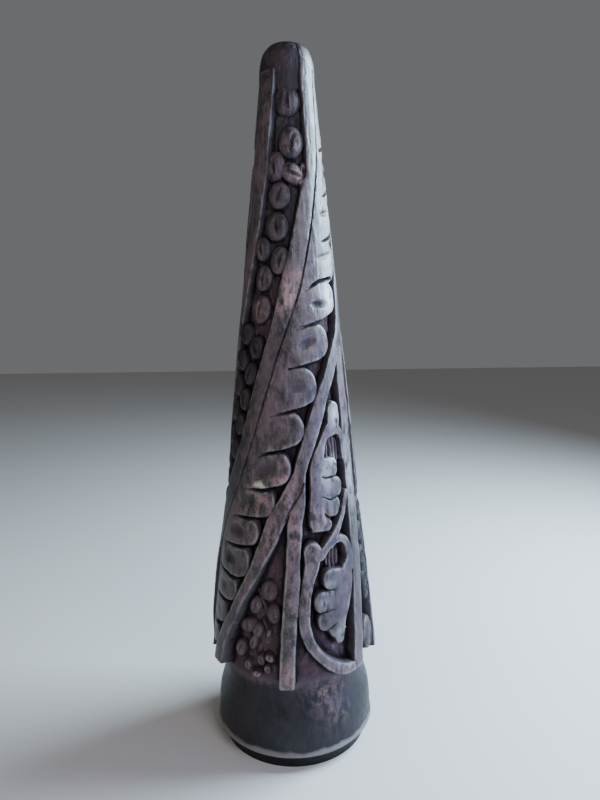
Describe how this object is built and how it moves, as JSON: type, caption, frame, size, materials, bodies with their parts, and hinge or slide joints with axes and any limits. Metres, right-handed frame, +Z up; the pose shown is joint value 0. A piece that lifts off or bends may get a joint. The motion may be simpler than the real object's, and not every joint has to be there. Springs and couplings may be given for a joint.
{
  "type": "carved wooden tree",
  "caption": "Tall slim tree carved from one block of dark wood: a tapering cone of spiral strands, lobed leaves and berries in relief on a turned domed foot.",
  "frame": {"origin": "centre of the underside of the foot, on the surface it stands on", "axes": "+Z up along the trunk; the front, as pictured, faces -Y and +X is to its right"},
  "size_m": [0.1132, 0.1138, 0.45],
  "materials": {
    "dark_wood": "oiled dark wood, satin, with paler rubbed edges and dusty hollows"
  },
  "bodies": {
    "root": {"carved_tree": "dark_wood"}
  },
  "joints": []
}
